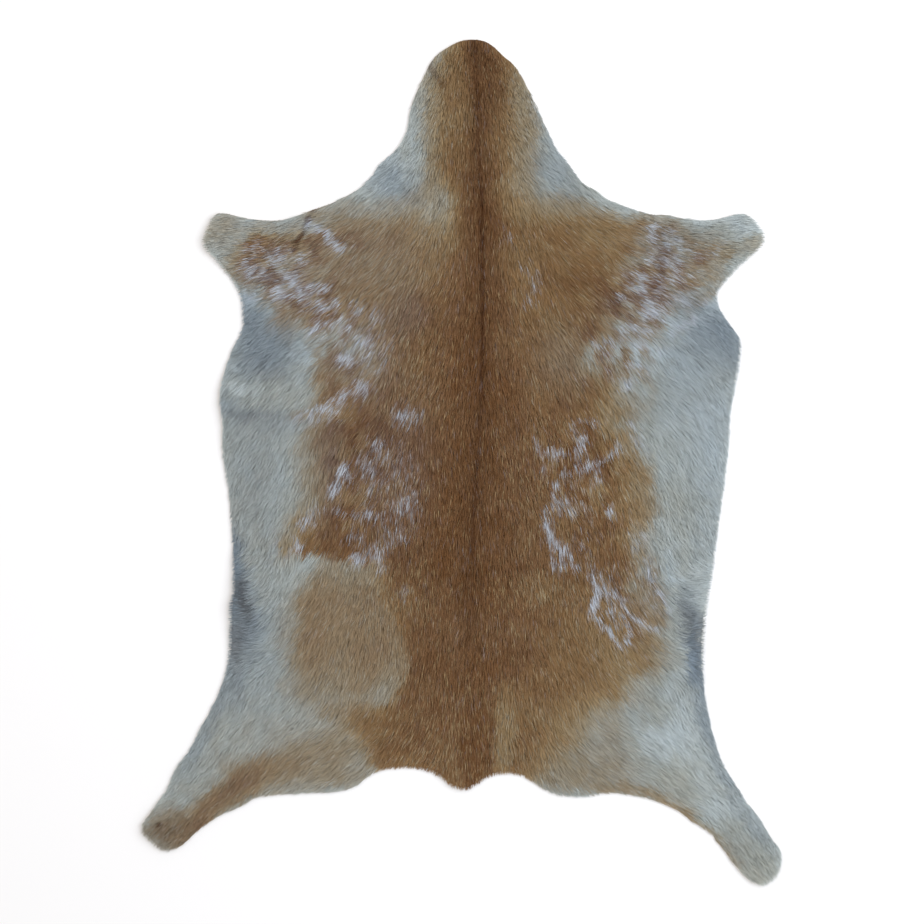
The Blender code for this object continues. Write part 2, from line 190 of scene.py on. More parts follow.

# The other markings, and the painted shade and highlight along some folds, as soft patches: each turns one
# pigment towards an amount within an ellipse that is rx by ry and turned by an angle in degrees. soft is how
# much of its radius the soft edge takes. In these tables and the next ones soft, amount, share and strength
# are in percent. A row may leave out its last values: the strength is then 80, the angle 0 and soft 90.
BROWN_PATCHES = [
    # x, y, rx, ry, amount, strength, angle, soft
    # tan patch of the left loin
    (-130, -186, 68, 80, 60, 100, 0, 30), (-124, -192, 62, 56, 68, 90, 0, 80),
    (-118, -124, 46, 18, 50, 80, 0, 80), (-72, -226, 10, 34, 50, 80, -10, 80),
    (-98, -258, 32, 8, 44, 80, 16, 80), (-160, -250, 30, 16, 40),
    # darker along the back
    (18, 120, 44, 340, 97, 90), (0, -110, 84, 130, 97, 80, 0, 80), (-20, -240, 50, 90, 94, 80, 0, 70),
    (120, -200, 70, 50, 90, 60),
    # brown of the left side
    (-113, 32, 32, 28, 88, 100, -14, 35), (-140, 12, 22, 16, 78, 90, 0, 70),
    (-133, -51, 20, 13, 90, 90, 0, 50), (-84, -20, 44, 70, 93, 70, 0, 80),
    (-100, -30, 12, 14, 90, 80, 0, 60), (-143, -91, 22, 19, 88, 100, 4, 30), (-170, -20, 22, 60, 52, 70),
    (-190, -86, 14, 30, 48, 80, 0, 80), (-232, -20, 34, 110, 25, 90), (-222, 90, 40, 60, 24),
    (-240, -250, 40, 60, 13), (-142, 90, 20, 12, 74, 90, 0, 50), (-120, 130, 40, 40, 50),
    (-84, 128, 30, 50, 76, 60),
    # greyer brown of the left shoulder
    (-112, 218, 76, 60, 68, 90, 0, 80), (-40, 240, 36, 60, 68, 90, 0, 80), (-24, 272, 26, 36, 58),
    (-100, 276, 80, 15, 38, 90, 8, 80), (110, 280, 70, 12, 46, 80, -14, 80),
    (-204, 256, 62, 9, 36, 90, 0, 70), (-212, 216, 42, 30, 74, 90, 0, 70),
    # neck
    (-16, 392, 28, 80, 70, 90, 0, 80), (-34, 428, 20, 30, 56, 90), (56, 372, 24, 90, 70, 90, 0, 80),
    (40, 410, 16, 60, 86, 70), (68, 322, 20, 44, 50), (68, 396, 17, 66, 48, 90, 12),
    (-32, 376, 13, 70, 50, 90), (-27, 282, 22, 24, 36, 90),
    # golden brown of the right shoulder
    (126, 236, 66, 34, 76, 90, -10, 70), (122, 178, 42, 34, 82, 90, 0, 70), (66, 224, 26, 60, 74, 80, 0, 80),
    (104, 112, 50, 44, 76, 80, -30), (112, 132, 64, 9, 62, 60, -48), (152, 78, 15, 28, 82, 90, 0, 50),
    (176, 30, 20, 40, 52, 60), (186, -40, 30, 50, 66, 90, 0, 70), (128, -70, 30, 26, 86, 80, 0, 60),
    (130, -32, 20, 12, 86, 80, 0, 60), (198, -130, 18, 46, 72, 90, 15, 70),
    # greyer spots of the loin
    (82, -142, 24, 20, 74, 60), (-66, -146, 18, 14, 76, 60, 0, 80), (104, -206, 22, 18, 78, 60, -30, 80),
    (186, -228, 34, 26, 62, 80, -20, 80), (76, -250, 40, 24, 80, 60, 0, 80),
    # paler beside the darker column above the tail; the sharp step from that column (15, -305) to the paler
    # strip (48, -300) is painted shade on one side of a fold where the hair's lie turns and painted light on
    # the other
    (48, -300, 13, 50, 64, 90, 0, 40), (92, -292, 40, 22, 72, 80, -34, 80), (128, -336, 62, 26, 58, 90),
    (172, -300, 66, 44, 41, 90, -24), (222, -300, 40, 60, 2, 90, 20), (260, 100, 40, 80, 6, 90),
    (280, -384, 50, 26, 10, 90, -50), (15, -305, 19, 66, 98, 100, 0, 30), (-24, -316, 24, 36, 86, 70, 0, 70),
    (-108, -298, 58, 13, 74, 90, -34, 70), (-72, -322, 26, 18, 62, 80, -30, 80),
    (-128, -276, 60, 14, 56, 60), (-140, -316, 46, 22, 56, 90), (-150, -346, 66, 16, 56, 90),
    # brown inner band of the left hind leg
    (-200, -328, 100, 42, 44, 90, 18), (-196, -338, 62, 18, 60, 90, 16), (-250, -357, 50, 17, 80, 100, 38),
    (-292, -395, 44, 16, 82, 100, 42), (-326, -404, 28, 24, 68, 90, 40, 80),
    (-210, -372, 50, 8, 46, 90, 20, 80), (-250, -290, 60, 40, 26, 80, 40),
    # brown fringe of the right hind leg
    (174, -360, 60, 9, 56, 90, -8, 80), (240, -386, 44, 12, 66, 90, -36, 80),
    (288, -430, 38, 11, 54, 90, -52, 80), (326, -446, 30, 24, 22, 90, -45),
    # left foreleg
    (-264, 254, 26, 22, 38, 90, 0, 80),
    # right foreleg
    (228, 236, 34, 30, 76, 90, 0, 60), (256, 226, 34, 18, 62, 90, -6, 70), (268, 230, 14, 8, 80, 80, 20, 80),
    (292, 228, 34, 9, 56, 90, 38, 80), (318, 254, 32, 24, 4, 90, 0, 80), (210, 200, 52, 30, 80, 90, 10, 60),
    (216, 192, 8, 17, 92, 90, -18, 60), (251, 198, 18, 9, 80, 90, 10, 60), (266, 182, 18, 8, 72, 90, 34, 70),
    (200, 162, 40, 26, 74, 90, 24, 70), (172, 124, 30, 24, 72, 90, 0, 80), (155, 117, 9, 7, 84, 90, 0, 60),
    (190, 157, 5, 7, 88, 90, 0, 60), (178, 118, 7, 10, 76, 90, 0, 60), (200, 266, 26, 8, 42, 90, 0, 80),
    # painted highlight along the ridge of a fold on the left flank, with the slate patch at (-240, 80)
    (-242, 80, 30, 8, 8, 80, -4),
    # brown islands in the roan
    (-185, 158, 21, 13, 68, 100, 0, 35), (-145, 166, 9, 12, 80, 90, 0, 60),
    (-160, 236, 11, 18, 84, 90, 0, 60), (-122, 243, 15, 11, 84, 90, 0, 50),
    (-232, 214, 16, 26, 80, 80, 0, 70), (150, 18, 22, 9, 82, 80, 0, 50), (-178, 50, 16, 7, 56, 80, 0, 60),
    # paler tan between neck and shoulders
    (80, 275, 40, 16, 49, 70), (164, 250, 52, 18, 62, 80, -8), (-38, 438, 16, 26, 26),
    (-18, 454, 18, 14, 36, 90), (-166, 272, 16, 8, 52), (-46, 398, 12, 30, 22), (274, 244, 36, 14, 28, 70),
    (320, 238, 18, 10, 36, 80, 30), (238, 168, 26, 12, 46, 60, 30), (276, 204, 14, 12, 60),
    (108, 134, 26, 30, 68, 70),
    # brown hairs in the cream of the flanks
    (184, 84, 30, 70, 42, 80, -8), (236, -80, 20, 50, 22), (-194, 142, 26, 20, 42),
    (-224, 40, 30, 20, 24, 60), (276, 30, 26, 150, 5, 90), (-142, 56, 22, 14, 52, 70, 20),
    # golden brown of the right loin
    (160, -185, 52, 50, 61), (202, -122, 18, 66, 42, 80, 8), (126, -228, 42, 26, 72, 70),
    (196, -254, 26, 20, 38, 60, -20), (236, -352, 40, 18, 30, 80, -40), (-192, -190, 16, 60, 26, 60),
    (-158, -244, 42, 20, 50, 80, 20), (-76, -314, 30, 24, 93, 90, -20), (300, -414, 24, 20, 26, 70, -40),
    # small touches all over
    (164, 102, 14, 14, 82), (222, -214, 16, 16, 36, 70), (210, -274, 20, 18, 32, 70),
    (-266, -378, 26, 7, 62, 70, 36), (97, 292, 22, 8, 34, 70, -20), (-104, 260, 50, 10, 54, 60),
    (-210, 250, 26, 8, 34, 60), (-172, -80, 12, 14, 64, 70), (-110, -284, 34, 15, 76, 70, -30),
    (-150, -236, 24, 20, 62, 60),
]
SLATE_PATCHES = [
    # none on the paler right hind leg and foreleg
    (262, -350, 60, 80, 2, 100, 20), (334, -450, 34, 34, 0, 100), (314, 252, 40, 30, 0, 100),
    (-300, 250, 30, 30, 4, 100), (-40, 400, 30, 80, 2, 90), (74, 400, 30, 80, 4, 90),
    # a grey cast over brown coat
    (-110, 230, 80, 64, 17, 90, 0, 80), (-80, 0, 50, 100, 10, 90, 0, 80), (-120, 120, 50, 50, 26, 90),
    # under the neck
    (-78, 312, 34, 22, 50, 90, -38), (106, 318, 34, 24, 42, 90, -48), (-58, 380, 10, 60, 16, 90),
    (94, 372, 10, 50, 34, 90, 22),
    # upper flanks; (-240, 80) is a painted highlight along the ridge of a fold on the left flank, and (-232,
    # 50) and (-226, 38) are painted shade in its crease
    (-220, 122, 50, 40, 72, 90, 10), (-232, 164, 26, 30, 76, 90), (-240, 80, 36, 8, 2, 90, -4),
    (-232, 50, 46, 10, 66, 90, -8), (-226, 38, 44, 20, 40, 80, -6), (-230, -20, 36, 80, 36, 90),
    (276, 130, 42, 48, 94, 90, -20), (246, 168, 26, 24, 56, 90), (276, 60, 26, 60, 30),
    (266, -40, 20, 90, 20),
    # waists
    (-252, -108, 8, 46, 80, 100, 4), (-240, -160, 16, 46, 100, 100, 0, 70), (-246, -180, 10, 90, 80, 90),
    (-246, -216, 22, 34, 62, 100), (-266, -262, 14, 52, 50, 100, -22), (-292, -312, 11, 44, 40, 100, -28),
    (-218, -200, 30, 100, 30), (252, -178, 12, 42, 62, 100, 4), (262, -238, 11, 50, 68, 100, 6),
    (273, -296, 11, 50, 55, 100, 18), (300, -352, 12, 42, 40, 100, 38), (322, -402, 12, 40, 30, 100, 34),
    (190, -277, 18, 14, 22, 90, -20), (226, -150, 16, 40, 20), (-214, 264, 50, 8, 30),
    (225, 240, 40, 26, 30), (200, 160, 50, 40, 22), (-195, 200, 50, 40, 26), (260, 266, 60, 8, 16),
    (-326, -404, 30, 24, 16, 90, 40), (-234, -184, 18, 40, 62, 90), (254, -214, 10, 30, 80, 100),
    (276, 20, 24, 160, 27, 60), (240, 84, 34, 66, 34), (200, -130, 22, 60, 22, 60), (-152, 0, 22, 70, 26),
    # (-258, 60) is painted shade in the same crease of the left flank, at the hide's edge
    (118, 112, 40, 40, 20), (-62, 165, 26, 36, 20), (-258, 60, 8, 20, 50),
]
DARK_PATCHES = [
    # x, y, rx, ry, amount, angle, soft
    # right of the spine at the neck: painted shade beside the crease of the spine's fold; then the darker
    # whorls of the waists
    (22, 425, 12, 62, 32, -2, 80), (-239, -150, 9, 28, 74, 10, 80), (-247, -200, 8, 36, 52),
    (-254, -120, 5, 60, 46, 2), (250, -178, 7, 26, 42), (262, -200, 6, 36, 38),
    # dark spot on the left hind foot; among the next ones (-238, 52) is painted shade in the crease of the
    # fold on the left flank
    (-331, -398, 4.5, 3.5, 95, 0, 40), (-118, 8, 7, 10, 40, 0, 80), (-238, 52, 30, 5, 26, -8),
    (-300, -416, 32, 8, 40, 34), (-326, -410, 24, 20, 34, 40), (64, -330, 14, 8, 20),
    (-240, -182, 14, 34, 30),
]
DARK_LINES = [
    # half width, amount, x and y of each point
    # painted shade in the crease along the spine, from the neck down the back: these five lines and the wide
    # one after them
    (3.6, 72, 14, 466, 17, 398, 18, 343, 22, 300), (2.8, 105, 22, 300, 23, 145, 22, 68),
    (3.2, 75, 22, 68, 18, 13, 14, -42), (4.6, 80, 14, -42, 11, -100), (4, 40, 11, -100, 9, -152, 6, -200),
    # the wide line is more painted shade along the spine's fold; the thin one after it is painted shadow in
    # the crease across the left shoulder
    (15, 34, 16, 466, 20, 300, 21, 60, 14, -60, 8, -170), (1.7, 115, -163, 278, -174, 254, -185, 232),
    # the first darkens the left edge of the neck; the second is painted shade along that fold above the tail
    (3.4, 50, -40, 438, -20, 412), (2, 15, 33, -262, 34, -345),
]

# How many light hairs are mixed into the brown ones
ROAN_PATCHES = [
    # x, y, rx, ry, share, strength, angle, soft
    (0, 0, 500, 600, 6, 100, 0, 20), (-100, 225, 80, 60, 20, 100, 0, 80), (-80, -25, 50, 90, 8, 100, 0, 70),
    (-70, 110, 40, 60, 20, 100, 0, 80), (110, -20, 60, 70, 16, 100, 0, 70),
    (85, -145, 60, 24, 26, 100, 0, 80), (-60, -140, 40, 30, 24, 100, 0, 80),
    (15, -300, 110, 60, 18, 100, 0, 60), (200, 170, 60, 70, 20, 100, 0, 70),
    (-190, 190, 70, 60, 20, 100, 0, 70),
]

# Where brown and pale tufts mix, and how strongly
MOTTLED_PATCHES = [
    # x, y, rx, ry, amount, angle, soft
    (190, 146, 56, 80, 80, -20, 80), (230, 226, 60, 30, 60, 0, 80), (-196, 200, 66, 54, 60, 0, 80),
    (-132, 124, 50, 50, 60, 0, 80), (-112, -20, 60, 90, 36, 0, 80), (146, -10, 60, 90, 36, 0, 80),
    (204, -136, 36, 60, 40, 0, 80),
]

# Where white hairs break through as tufts: patches, and the share of their tufts that is white
WHITE_SOFTNESS = 80
WHITE_FADE = (-0.30, 0.60)  # from brown to white, by how far the share is over the hair's chance
WHITE_NOISE, WHITE_NOISE_SIZE, WHITE_NOISE_SEED = 0.8, 5.5 * MM, 81
WHITE_PATCHES = [
    # x, y, rx, ry, amount, angle
    (-232, 236, 16, 9, 54, -10), (-228, 212, 20, 20, 52, -30), (-200, 222, 20, 14, 62),
    (-201, 187, 10, 12, 95), (-184, 200, 18, 12, 70), (-182, 184, 18, 9, 75), (-158, 190, 15, 9, 82),
    (-180, 218, 16, 11, 56), (-160, 160, 22, 32, 44), (-230, 186, 10, 12, 55, -40), (-206, 214, 40, 26, 34),
    (-120, 236, 8, 4, 30), (-115, 168, 12, 11, 76), (-96, 160, 16, 14, 46), (-136, 150, 22, 16, 54),
    (-106, 133, 16, 9, 100, 16), (-127, 114, 13, 11, 92), (-112, 124, 36, 30, 52), (-92, 110, 16, 20, 40),
    (-110, 80, 18, 13, 64, 20), (-166, 44, 22, 9, 60, 20), (-144, 56, 18, 12, 54, 20), (-61, 50, 20, 14, 60),
    (-93, 18, 9, 8, 66), (-84, 2, 20, 16, 44), (-129, -14, 8, 12, 100, 16), (-142, -32, 8, 9, 66),
    (-104, -8, 20, 14, 38), (-76, -20, 40, 50, 27), (-104, -60, 28, 7, 58, 4), (-62, -48, 18, 20, 50),
    (-180, -94, 12, 7, 62, 40), (-170, -66, 26, 9, 60, 50), (-114, -82, 12, 12, 50), (-112, -106, 14, 8, 66),
    (-90, -98, 12, 20, 62), (-74, -80, 22, 20, 38), (-90, -120, 9, 8, 40), (-64, -146, 14, 9, 32),
    (-206, -90, 9, 28, 36), (210, 252, 8, 16, 66), (208, 226, 10, 16, 58), (228, 242, 14, 18, 62),
    (230, 220, 18, 12, 66), (234, 203, 8, 10, 72), (250, 232, 18, 8, 58), (278, 232, 24, 6, 56, 30),
    (181, 203, 12, 7, 62), (196, 204, 12, 8, 68), (192, 188, 14, 14, 62), (178, 180, 9, 9, 64),
    (204, 176, 14, 10, 72), (219, 163, 13, 9, 95), (200, 160, 14, 14, 74), (240, 176, 16, 10, 62, 30),
    (184, 146, 18, 10, 72), (206, 144, 16, 9, 76), (166, 132, 26, 8, 78, 16), (216, 124, 11, 6, 86, 10),
    (196, 126, 16, 12, 68), (148, 128, 9, 8, 66), (164, 112, 14, 16, 44), (182, 85, 10, 13, 74),
    (170, 96, 16, 14, 30), (196, 104, 18, 16, 56), (222, 190, 44, 60, 44), (134, 84, 7, 14, 26),
    (51, 246, 4, 11, 66, 14), (64, 212, 9, 8, 44), (82, 196, 9, 12, 52, 10), (76, 178, 12, 10, 46),
    (81, 16, 5, 8, 66), (104, 8, 14, 6, 68, -10), (88, -8, 8, 14, 46), (130, 18, 7, 26, 56),
    (122, 34, 10, 10, 48), (146, 44, 12, 6, 34), (170, 17, 4.5, 9, 92), (194, 24, 12, 20, 36),
    (148, -18, 7, 10, 66), (120, -55, 8, 8, 60), (137, -54, 6, 9, 60), (162, -56, 5.5, 11, 95),
    (112, -46, 14, 12, 50), (128, -28, 18, 8, 26), (158, -142, 15, 16, 72), (150, -132, 10, 8, 50),
    (197, -92, 8, 12, 46), (212, -136, 13, 44, 46, 12), (196, -100, 14, 60, 34, 6), (186, -262, 12, 6, 24),
    (138, -92, 16, 20, 34), (112, -98, 9, 12, 58), (166, -156, 24, 28, 36), (176, -160, 44, 60, 24),
    (136, -112, 18, 14, 32), (96, -66, 10, 24, 36),
]
# The thin lines that white hairs draw
WHITE_LINE_WIDENING = 1.25
WHITE_LINE_WANDER, DARK_LINE_WANDER = 3.2, 1.2
WHITE_LINES = [
    # half width, amount, x and y of each point
    (4.2, 100, -167, 260, -151, 252, -143, 242, -134, 233), (4.2, 90, -152, 182, -155, 160, -167, 140),
    (5, 74, -180, 46, -158, 55, -140, 64, -126, 75), (4, 80, -142, -34, -128, -8),
    (4, 70, -192, -104, -176, -84), (4, 60, -116, -112, -96, -104, -86, -84),
    (3.4, 62, 82, 20, 84, 8, 96, 10, 114, 5), (3.4, 56, 88, 4, 90, -18, 102, -26),
    (2.8, 70, 136, -6, 152, 0, 168, 9), (3, 76, 103, -26, 110, -18, 124, -12, 138, -6),
    (3, 80, 101, -26, 102, -42, 96, -56), (3.8, 100, 92, -54, 94, -70, 98, -86),
    (2.6, 50, 98, -86, 102, -114), (3.2, 80, 100, -88, 112, -100, 124, -113, 148, -128),
    (3.6, 70, 102, -114, 124, -117), (3.5, 96, 146, -128, 148, -150, 142, -167, 155, -178, 172, -200),
    (3.2, 88, 160, -130, 174, -156, 191, -177, 216, -185), (3, 80, 168, -162, 185, -184, 178, -202),
    (2.4, 74, 154, -136, 166, -150, 163, -168, 170, -182), (2.4, 50, 84, 14, 86, -6, 96, -24),
    (2.4, 44, 120, -50, 130, -66, 150, -62), (2.4, 50, 130, 30, 134, 10, 144, -4),
    (2.6, 56, -150, -50, -120, -60, -90, -58), (2.6, 50, -110, 10, -96, -20, -104, -44),
    (2.8, 66, -140, 176, -124, 150, -110, 128), (3, 60, -214, 232, -200, 206, -184, 190),
    (4, 66, 200, -108, 206, -127, 219, -144, 226, -164), (4, 64, 233, 140, 251, 156, 269, 178),
    (3, 50, 184, 44, 202, 10),
]


def linear(red, green, blue):
    """A colour as 0 to 255 numbers on a screen, as the shaders take it."""
    def one(value):
        value /= 255.0
        return value / 12.92 if value <= 0.04045 else ((value + 0.055) / 1.055) ** 2.4
    return (one(red), one(green), one(blue), 1.0)


def placed(name, data):
    """A new object of the scene."""
    made = bpy.data.objects.new(name, data)
    bpy.context.scene.collection.objects.link(made)
    return made


# The frame's solid as maps

def node_triangles(node):
    """The node's points, each once, and its triangles."""
    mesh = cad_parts[node].data
    mesh.calc_loop_triangles()
    places = np.empty(len(mesh.vertices) * 3, np.float32)
    mesh.vertices.foreach_get("co", places)
    corners = np.empty(len(mesh.loop_triangles) * 3, np.int32)
    mesh.loop_triangles.foreach_get("vertices", corners)
    points, same = np.unique(np.round(places.reshape(-1, 3).astype(float), 6), axis=0, return_inverse=True)
    return points, same.reshape(-1)[corners].reshape(-1, 3)


def loop_area(loop):
    """The area inside the loop, negative where the loop runs clockwise."""
    x, y = loop.T
    return np.sum(x * np.roll(y, -1) - np.roll(x, -1) * y) / 2


def rim_loop(points, triangles):
    """The hide's outline: the edges between the upright wall of its rim and its underside, in order."""
    a, b, c = (points[triangles[:, i]] for i in range(3))
    normal = np.cross(b - a, c - a)
    up = normal[:, 2] / np.linalg.norm(normal, axis=1)
    sides = {}
    for face, (i, j, k) in enumerate(triangles):
        for edge in ((i, j), (j, k), (k, i)):
            sides.setdefault(frozenset(edge), []).append(up[face])
    onward = {}
    for edge, ups in sides.items():
        if len(ups) == 2 and min(ups) < FACES_DOWN and abs(max(ups)) < UPRIGHT:
            i, j = edge
            onward.setdefault(i, []).append(j)
            onward.setdefault(j, []).append(i)
    start = next(iter(onward))
    loop = [start, onward[start][0]]
    while loop[-1] != start:
        loop.append(next(n for n in onward[loop[-1]] if n != loop[-2]))
    loop = points[loop[:-1]][:, :2]
    return loop if loop_area(loop) > 0 else loop[::-1]


def signed_distance(points, loop):
    """How far inside the loop each point is, negative outside it."""
    nearest = np.full(len(points), np.inf)
    inside = np.zeros(len(points), bool)
    for start, end in zip(loop, np.roll(loop, -1, axis=0)):
        run = end - start
        share = np.clip(((points - start) @ run) / (run @ run), 0.0, 1.0)
        away = points - start - share[:, None] * run
        nearest = np.minimum(nearest, (away**2).sum(axis=1))
        spans = (start[1] > points[:, 1]) != (end[1] > points[:, 1])
        rise = run[1] if run[1] else 1.0
        inside ^= spans & (points[:, 0] < start[0] + (points[:, 1] - start[1]) * run[0] / rise)
    return np.where(inside, 1.0, -1.0) * np.sqrt(nearest)


def spread_outward(grid):
    """Fills the empty cells of a map from their filled neighbours, until none is left."""
    while np.isnan(grid).any():
        padded = np.pad(grid, 1, constant_values=np.nan)
        around = [padded[1 + i:padded.shape[0] - 1 + i, 1 + j:padded.shape[1] - 1 + j]
                  for i, j in ((-1, 0), (1, 0), (0, -1), (0, 1))]
        known = sum(~np.isnan(part) for part in around)
        total = sum(np.nan_to_num(part) for part in around)
        grid = np.where(np.isnan(grid) & (known > 0), total / np.maximum(known, 1), grid)
    return grid


def height_maps(points, triangles, xs, ys):
    """The height of the solid's top and of its underside over a grid."""
    solid = BVHTree.FromPolygons([Vector(p) for p in points], triangles.tolist())
    top = np.full((len(ys), len(xs)), np.nan)
    under = top.copy()
    above, down, up = 0.1, Vector((0, 0, -1)), Vector((0, 0, 1))
    for row, y in enumerate(ys):
        for column, x in enumerate(xs):
            hit = solid.ray_cast(Vector((x, y, above)), down)[0]
            if hit is not None:
                top[row, column] = hit.z
                under[row, column] = solid.ray_cast(Vector((x, y, -above)), up)[0].z
    return spread_outward(top), spread_outward(under)


solid_points, solid_triangles = node_triangles("hide")
outline = rim_loop(solid_points, solid_triangles)
map_x, map_y = (np.arange(side.min() - MAP_MARGIN, side.max() + MAP_MARGIN, MAP_STEP) for side in outline.T)
map_points = np.stack(np.meshgrid(map_x, map_y), axis=-1).reshape(-1, 2)
TOP_MAP, UNDER_MAP = height_maps(solid_points, solid_triangles, map_x, map_y)
EDGE_MAP = signed_distance(map_points, outline).reshape(TOP_MAP.shape)


def blended(corners, fx, fy):
    """Between the values at the corners of a cell, given as its lower and its upper two."""
    (a, b), (c, d) = corners
    return (a * (1 - fx) + b * fx) * (1 - fy) + (c * (1 - fx) + d * fx) * fy


def read_map(grid, points):
    """The map's value at each point, blended between its cells."""
    at_x = np.clip((points[:, 0] - map_x[0]) / MAP_STEP, 0, len(map_x) - 1.001)
    at_y = np.clip((points[:, 1] - map_y[0]) / MAP_STEP, 0, len(map_y) - 1.001)
    column, row = at_x.astype(int), at_y.astype(int)
    corners = [[grid[row + j, column + i] for i in (0, 1)] for j in (0, 1)]
    return blended(corners, at_x - column, at_y - row)


# Noise that is the same in each run

COLUMN_PRIME, ROW_PRIME, SEED_PRIME = 374761393, 668265263, 144664633
HASH_ROUNDS = [(13, 1274126177), (16, 461845907)]  # bits to shift by, factor


def cell_random(column, row, seed):
    """A number from 0 to 1 that belongs to a cell of a grid."""
    mixed = column.astype(np.int64) * COLUMN_PRIME + row.astype(np.int64) * ROW_PRIME + seed * SEED_PRIME
    for shift, factor in HASH_ROUNDS:
        mixed = (mixed ^ (mixed >> shift)) * factor & 0x7FFFFFFF
    return ((mixed >> 7) & 0xFFFF) / 65535.0


def noise(points, size, seed):
    """Smooth noise from -1 to 1 with features of about this size in metres."""
    at = points / size
    cell = np.floor(at).astype(int)
    part = at - cell
    part = part * part * (3 - 2 * part)
    corners = [[cell_random(cell[:, 0] + i, cell[:, 1] + j, seed) for i in (0, 1)] for j in (0, 1)]
    return 2 * blended(corners, *part.T) - 1


def layered_noise(points, size, seed, layers=3):
    """Noise of this size with finer and weaker noise on it."""
    total, weight = 0.0, 0.0
    for layer in range(layers):
        total = total + noise(points, size / 2**layer, seed + layer) / 2**layer
        weight += 1 / 2**layer
    return total / weight


def smooth_step(value, low, high):
    """0 up to low, 1 from high, and a smooth rise between them."""
    share = np.clip((value - low) / (high - low), 0.0, 1.0)
    return share * share * (3 - 2 * share)


# How the hair lies

def lay_rows():
    """The rows of the lay tables, with those for both sides mirrored about the spine."""
    rows = []
    for x, y, dx, dy in LAY_BOTH_SIDES:
        spine = SPINE_X * (1 - x / SPINE_FADES_AT)
        rows.append((spine + x, y, dx, dy))
        if x:
            rows.append((spine - x, y, -dx, dy))
    return np.array(rows + LAY_LEFT + LAY_RIGHT, float)


def hair_direction(points):
    """The direction in which the hair points, from the nearest rows of the table."""
    total = np.zeros((len(points), 2))
    for x, y, dx, dy in lay_rows():
        away = ((points - np.array([x, y]) * MM) ** 2).sum(axis=1)
        weight = 1.0 / (away + LAY_REACH**2) ** 2
        total += weight[:, None] * np.array([dx, dy]) / math.hypot(dx, dy)
    angle = np.arctan2(total[:, 1], total[:, 0])
    angle += sum(amount * noise(points, size, seed) for amount, size, seed in LAY_WAVER)
    return np.stack([np.cos(angle), np.sin(angle)], axis=1)


# The markings, and the painted shade and highlight along folds

def patch_share(points, x, y, rx, ry, angle, soft):
    """The points in reach of the ellipse, and for each 1 in its middle that falls to 0 over a soft edge."""
    turn, soft = math.radians(angle), soft / 100
    offset = points / MM - np.array([x, y])
    outer = 1.0 + SOFT_BEYOND * soft
    reach = max(rx, ry) * outer
    near = np.flatnonzero((np.abs(offset[:, 0]) < reach) & (np.abs(offset[:, 1]) < reach))
    offset = offset[near]
    along = offset[:, 0] * math.cos(turn) + offset[:, 1] * math.sin(turn)
    across = offset[:, 1] * math.cos(turn) - offset[:, 0] * math.sin(turn)
    radius = np.hypot(along / rx, across / ry)
    return near, 1.0 - smooth_step(radius, 1.0 - soft, outer)


def line_share(points, path, half_width):
    """1 on the path, fading to 0 across its width."""
    nearest = np.full(len(points), np.inf)
    stops = np.reshape(path, (-1, 2)).astype(float)
    for start, end in zip(stops, stops[1:]):
        run = end - start
        offset = points / MM - start
        share = np.clip(offset @ run / (run @ run), 0.0, 1.0)
        nearest = np.minimum(nearest, np.linalg.norm(offset - share[:, None] * run, axis=1))
    return np.exp(-((nearest / half_width) ** 2))


def saddle_share(points):
    """1 where the coat is brown, 0 where it is cream."""
    stations = np.array(SADDLE[::-1], float)
    x, y = points[:, 0] / MM, points[:, 1] / MM
    left, right, left_soft, right_soft = (np.interp(y, stations[:, 0], stations[:, k]) for k in range(1, 5))
    return smooth_step((x - left) / left_soft, -1, 1) * smooth_step((right - x) / right_soft, -1, 1)


def turn_towards(values, points, patches):
    """Each patch turns the values within it towards its own amount."""
    def turn(x, y, rx, ry, amount, strength=80, angle=0, soft=90):
        near, share = patch_share(points, x, y, rx, ry, angle, soft)
        values[near] += (amount / 100 - values[near]) * (strength / 100) * share
    for patch in patches:
        turn(*patch)
    return values


def largest_of(points, patches, usual_soft=90):
    """The largest amount of the patches at each point."""
    values = np.zeros(len(points))

    def lift(x, y, rx, ry, amount, angle=0, soft=usual_soft):
        near, share = patch_share(points, x, y, rx, ry, angle, soft)
        values[near] = np.maximum(values[near], amount / 100 * share)
    for patch in patches:
        lift(*patch)
    return values


